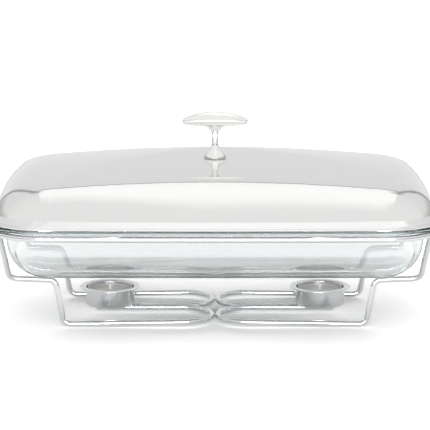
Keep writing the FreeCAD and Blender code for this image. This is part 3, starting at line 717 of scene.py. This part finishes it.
class CHAFING_OT_candle_cups(bpy.types.Operator):
    """Turns the two open cups with their rolled lips"""

    bl_idname = "chafing.candle_cups"
    bl_label = "Candle Cups"

    def execute(self, context):
        size = context.scene.chafing_candles
        finish = cup_steel()
        for side in SIDES:
            node = side + "_candle_cup"
            low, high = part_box(node)
            x = middle(low, high)
            edge = (high.x - low.x) / 2 - size.cup_lip
            outer = edge - size.cup_flange
            inner = outer - size.cup_wall
            floor = low.z + size.cup_wall
            under = high.z - size.cup_wall
            # Up the outside, out under the flange, round its edge, in over it and down the inside.
            path = rounded([(0, low.z), (outer, low.z), (outer, under), (edge, under)],
                           [size.cup_bend, size.flange_bend], CUP_BEND_STEPS)[:-1]
            path += arc((edge, high.z - size.cup_lip), size.cup_lip, LIP_START, 90, CUP_LIP_STEPS)
            path += rounded([(edge, high.z), (inner, high.z), (inner, floor), (0, floor)],
                            [size.flange_bend + size.cup_wall, size.cup_bend - size.cup_wall],
                            CUP_BEND_STEPS)[1:]
            cup = turned("pressed_" + node, path, x, size.lathe_segments)
            smooth(cup, TURNED_EDGE)
            stand_for(cup, finish, node, "stand")
        return {"FINISHED"}


class CHAFING_OT_tealights(bpy.types.Operator):
    """Turns the cans and the wax, and twists the wicks"""

    bl_idname = "chafing.tealights"
    bl_label = "Tealights"

    def execute(self, context):
        size = context.scene.chafing_candles
        foil, wax, thread = rolled_aluminium(), paraffin(), cotton()
        for side in SIDES:
            body = side + "_tealight"
            stand_for(self.can(size, side), foil, side + "_tealight_can", body)
            stand_for(self.wax(size, side), wax, side + "_tealight_wax", body)
            stand_for(self.wick(size, side), thread, side + "_tealight_wick", body)
        return {"FINISHED"}

    def can(self, size, side):
        low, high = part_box(side + "_tealight_can")
        x = middle(low, high)
        outer = (high.x - low.x) / 2 - size.can_lip
        inner = outer - size.can_wall
        floor = low.z + size.can_wall
        lip = high.z - size.can_lip
        path = rounded([(0, low.z), (outer, low.z), (outer, lip - size.can_lip)],
                       [size.can_bend], CAN_BEND_STEPS)
        wall = path.pop()
        foot = path[-1]
        path += [foot.lerp(wall, share) for share in FOLD_RINGS]
        path += arc((outer, lip), size.can_lip, -90, 180, CAN_LIP_STEPS)[1:]
        path += rounded([(inner, lip - size.can_wall), (inner, floor), (0, floor)],
                        [size.can_bend - size.can_wall], CAN_BEND_STEPS)
        can = turned("drawn_" + side + "_can", path, x, FOLD_STRIPS * size.folds)
        mesh = bmesh.from_edit_mesh(can.data)
        # The folds press the outside in, most at half the height, and end at the foot and under the lip.
        span = wall.y - foot.y
        for vertex in mesh.verts:
            reach = Vector((vertex.co.x - x, vertex.co.y))
            fade = (vertex.co.z - foot.y) * (wall.y - vertex.co.z) * 4 / span ** 2
            if fade > 0 and reach.length > inner + size.can_wall / 2:
                fold = 1 + math.cos(size.folds * math.atan2(reach.y, reach.x))
                shift = reach.normalized() * (-size.fold_depth * fade * fold / 2)
                vertex.co.x += shift.x
                vertex.co.y += shift.y
        bmesh.update_edit_mesh(can.data)
        smooth(can, TURNED_EDGE)
        return can

    def wax(self, size, side):
        low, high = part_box(side + "_tealight_wax")
        thread_low, thread_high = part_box(side + "_tealight_wick")
        x = middle(low, high)
        radius = (high.x - low.x) / 2
        hole = (thread_high.x - thread_low.x) / 2
        creep = size.meniscus
        path = rounded([(0, low.z), (radius, low.z), (radius, high.z)], [size.can_bend], WAX_BEND_STEPS)
        # The set pool: it climbs at the wall and at the wick, and dips a little between them.
        for number in range(1, POOL_RINGS + 1):
            place = radius + (hole - radius) * number / POOL_RINGS
            climb = math.exp(-(radius - place) / creep) + WICK_CREEP * math.exp(-(place - hole) / creep)
            path.append(Vector((place, high.z - creep * (1 - min(climb, 1.0)))))
        path.append(Vector((0, path[-1].y)))
        wax = turned("set_" + side + "_wax", path, x, size.lathe_segments)
        smooth(wax, TURNED_EDGE)
        return wax

    def wick(self, size, side):
        low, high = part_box(side + "_tealight_wick")
        x = middle(low, high)
        reach = (high.x - low.x) / 2 - size.wick_strand
        tall = high.z - low.z
        bpy.ops.object.select_all(action="DESELECT")
        strands = []
        for number in range(STRANDS):
            turn = 2 * math.pi * number / STRANDS
            place = (x + reach * math.cos(turn), reach * math.sin(turn), low.z + tall / 2)
            bpy.ops.mesh.primitive_cylinder_add(vertices=STRAND_SIDES, radius=size.wick_strand, depth=tall,
                                                location=place)
            strand = new_piece("twisted_" + side + "_wick")
            pick(strand, lambda edge: abs(edge.verts[0].co.z - edge.verts[1].co.z) > tall / 2, "edges")
            bpy.ops.mesh.subdivide(number_cuts=STRAND_CUTS)
            bpy.ops.object.mode_set(mode="OBJECT")
            strands.append(strand)
        for strand in strands:
            strand.select_set(True)
        wick = strands[0]
        bpy.context.view_layer.objects.active = wick
        bpy.ops.object.join()
        bpy.ops.object.mode_set(mode="EDIT")
        mesh = bmesh.from_edit_mesh(wick.data)
        for vertex in mesh.verts:
            turn = 2 * math.pi * size.wick_twists * (vertex.co.z - low.z) / tall
            dx, dy = vertex.co.x - x, vertex.co.y
            vertex.co.x = x + dx * math.cos(turn) - dy * math.sin(turn)
            vertex.co.y = dx * math.sin(turn) + dy * math.cos(turn)
        bmesh.update_edit_mesh(wick.data)
        smooth(wick, TURNED_EDGE)
        return wick


# Pieces that keep their CAD shape

class CHAFING_OT_finishes(bpy.types.Operator):
    """Gives the stand, the lid and its fixing their real finish"""

    bl_idname = "chafing.finishes"
    bl_label = "Finishes"

    def execute(self, context):
        chrome = chrome_plate()
        for name in LEGS + ("rim_ring",):
            dress(cad(name), chrome)
        dress(cad("lid_shell"), polished_steel())
        low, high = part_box("lid_knob")
        dress(cad("lid_knob"), cast_knob(high.z - SATIN_BAR))
        dress(cad("knob_gasket"), silicone())
        screw = bare_metal("passivated_stainless_screw", "#C9C9C8", 0.28)
        dress(cad("knob_washer"), screw)
        dress(cad("knob_screw"), screw)
        clip = bare_metal("bright_tinplate", "#D2D2D0", 0.22)
        for side in SIDES:
            dress(cad(side + "_wick_clip"), clip)
        return {"FINISHED"}


# Low light

LID_PIECES = ("lid_shell", "lid_knob", "knob_gasket", "knob_washer", "knob_screw")


class CHAFING_OT_low_light(bpy.types.Operator):
    """Sets a low soft lamp in front and one behind for the stand, and keeps them off lid and dish"""

    bl_idname = "chafing.low_light"
    bl_label = "Low Light"

    def execute(self, context):
        settings = context.scene.chafing_stage
        shaded = bpy.data.collections.new("shaded_from_low_light")
        for name in LID_PIECES:
            shaded.objects.link(cad(name))
        shaded.objects.link(bpy.data.objects["pressed_glass_dish"])
        for entry in shaded.collection_objects:
            entry.light_linking.link_state = "EXCLUDE"
        for name, y, power, mirrored in (
                ("front_fill", -settings.fill_distance, settings.front_power, True),
                ("back_fill", settings.fill_distance, settings.back_power, False)):
            bpy.ops.object.select_all(action="DESELECT")
            bpy.ops.object.light_add(type="AREA", location=(0, y, settings.fill_height))
            lamp = context.object
            lamp.name = name
            lamp.rotation_euler = (-math.atan2(y, settings.fill_height), 0, 0)
            lamp.data.shape = "RECTANGLE"
            lamp.data.size = settings.fill_length
            lamp.data.size_y = settings.fill_width
            lamp.data.energy = power
            lamp.visible_camera = lamp.visible_transmission = False
            lamp.visible_glossy = mirrored
            lamp.light_linking.receiver_collection = shaded
        return {"FINISHED"}


class CHAFING_PT_panel(bpy.types.Panel):
    """The pieces of the chafing dish, in the order in which they are made"""

    bl_idname = "CHAFING_PT_panel"
    bl_label = "Chafing Dish"
    bl_space_type = "VIEW_3D"
    bl_region_type = "UI"
    bl_category = "Chafing Dish"

    def draw(self, context):
        for name in OPERATORS:
            self.layout.operator(name)


OPERATORS = ("chafing.stage", "chafing.finishes", "chafing.glass_dish", "chafing.candle_cups",
             "chafing.tealights", "chafing.low_light")
CLASSES = (StageSettings, DishSettings, CandleSettings, CHAFING_OT_stage, CHAFING_OT_finishes,
           CHAFING_OT_glass_dish, CHAFING_OT_candle_cups, CHAFING_OT_tealights, CHAFING_OT_low_light,
           CHAFING_PT_panel)
SETTINGS = {"chafing_stage": StageSettings, "chafing_dish": DishSettings,
            "chafing_candles": CandleSettings}


def register():
    for item in CLASSES:
        bpy.utils.register_class(item)
    for name, group in SETTINGS.items():
        setattr(bpy.types.Scene, name, PointerProperty(type=group))


def unregister():
    for name in SETTINGS:
        delattr(bpy.types.Scene, name)
    for item in reversed(CLASSES):
        bpy.utils.unregister_class(item)


def main():
    register()
    bpy.ops.chafing.stage()
    bpy.ops.chafing.finishes()
    bpy.ops.chafing.glass_dish()
    bpy.ops.chafing.candle_cups()
    bpy.ops.chafing.tealights()
    bpy.ops.chafing.low_light()


if __name__ == "__main__":
    main()
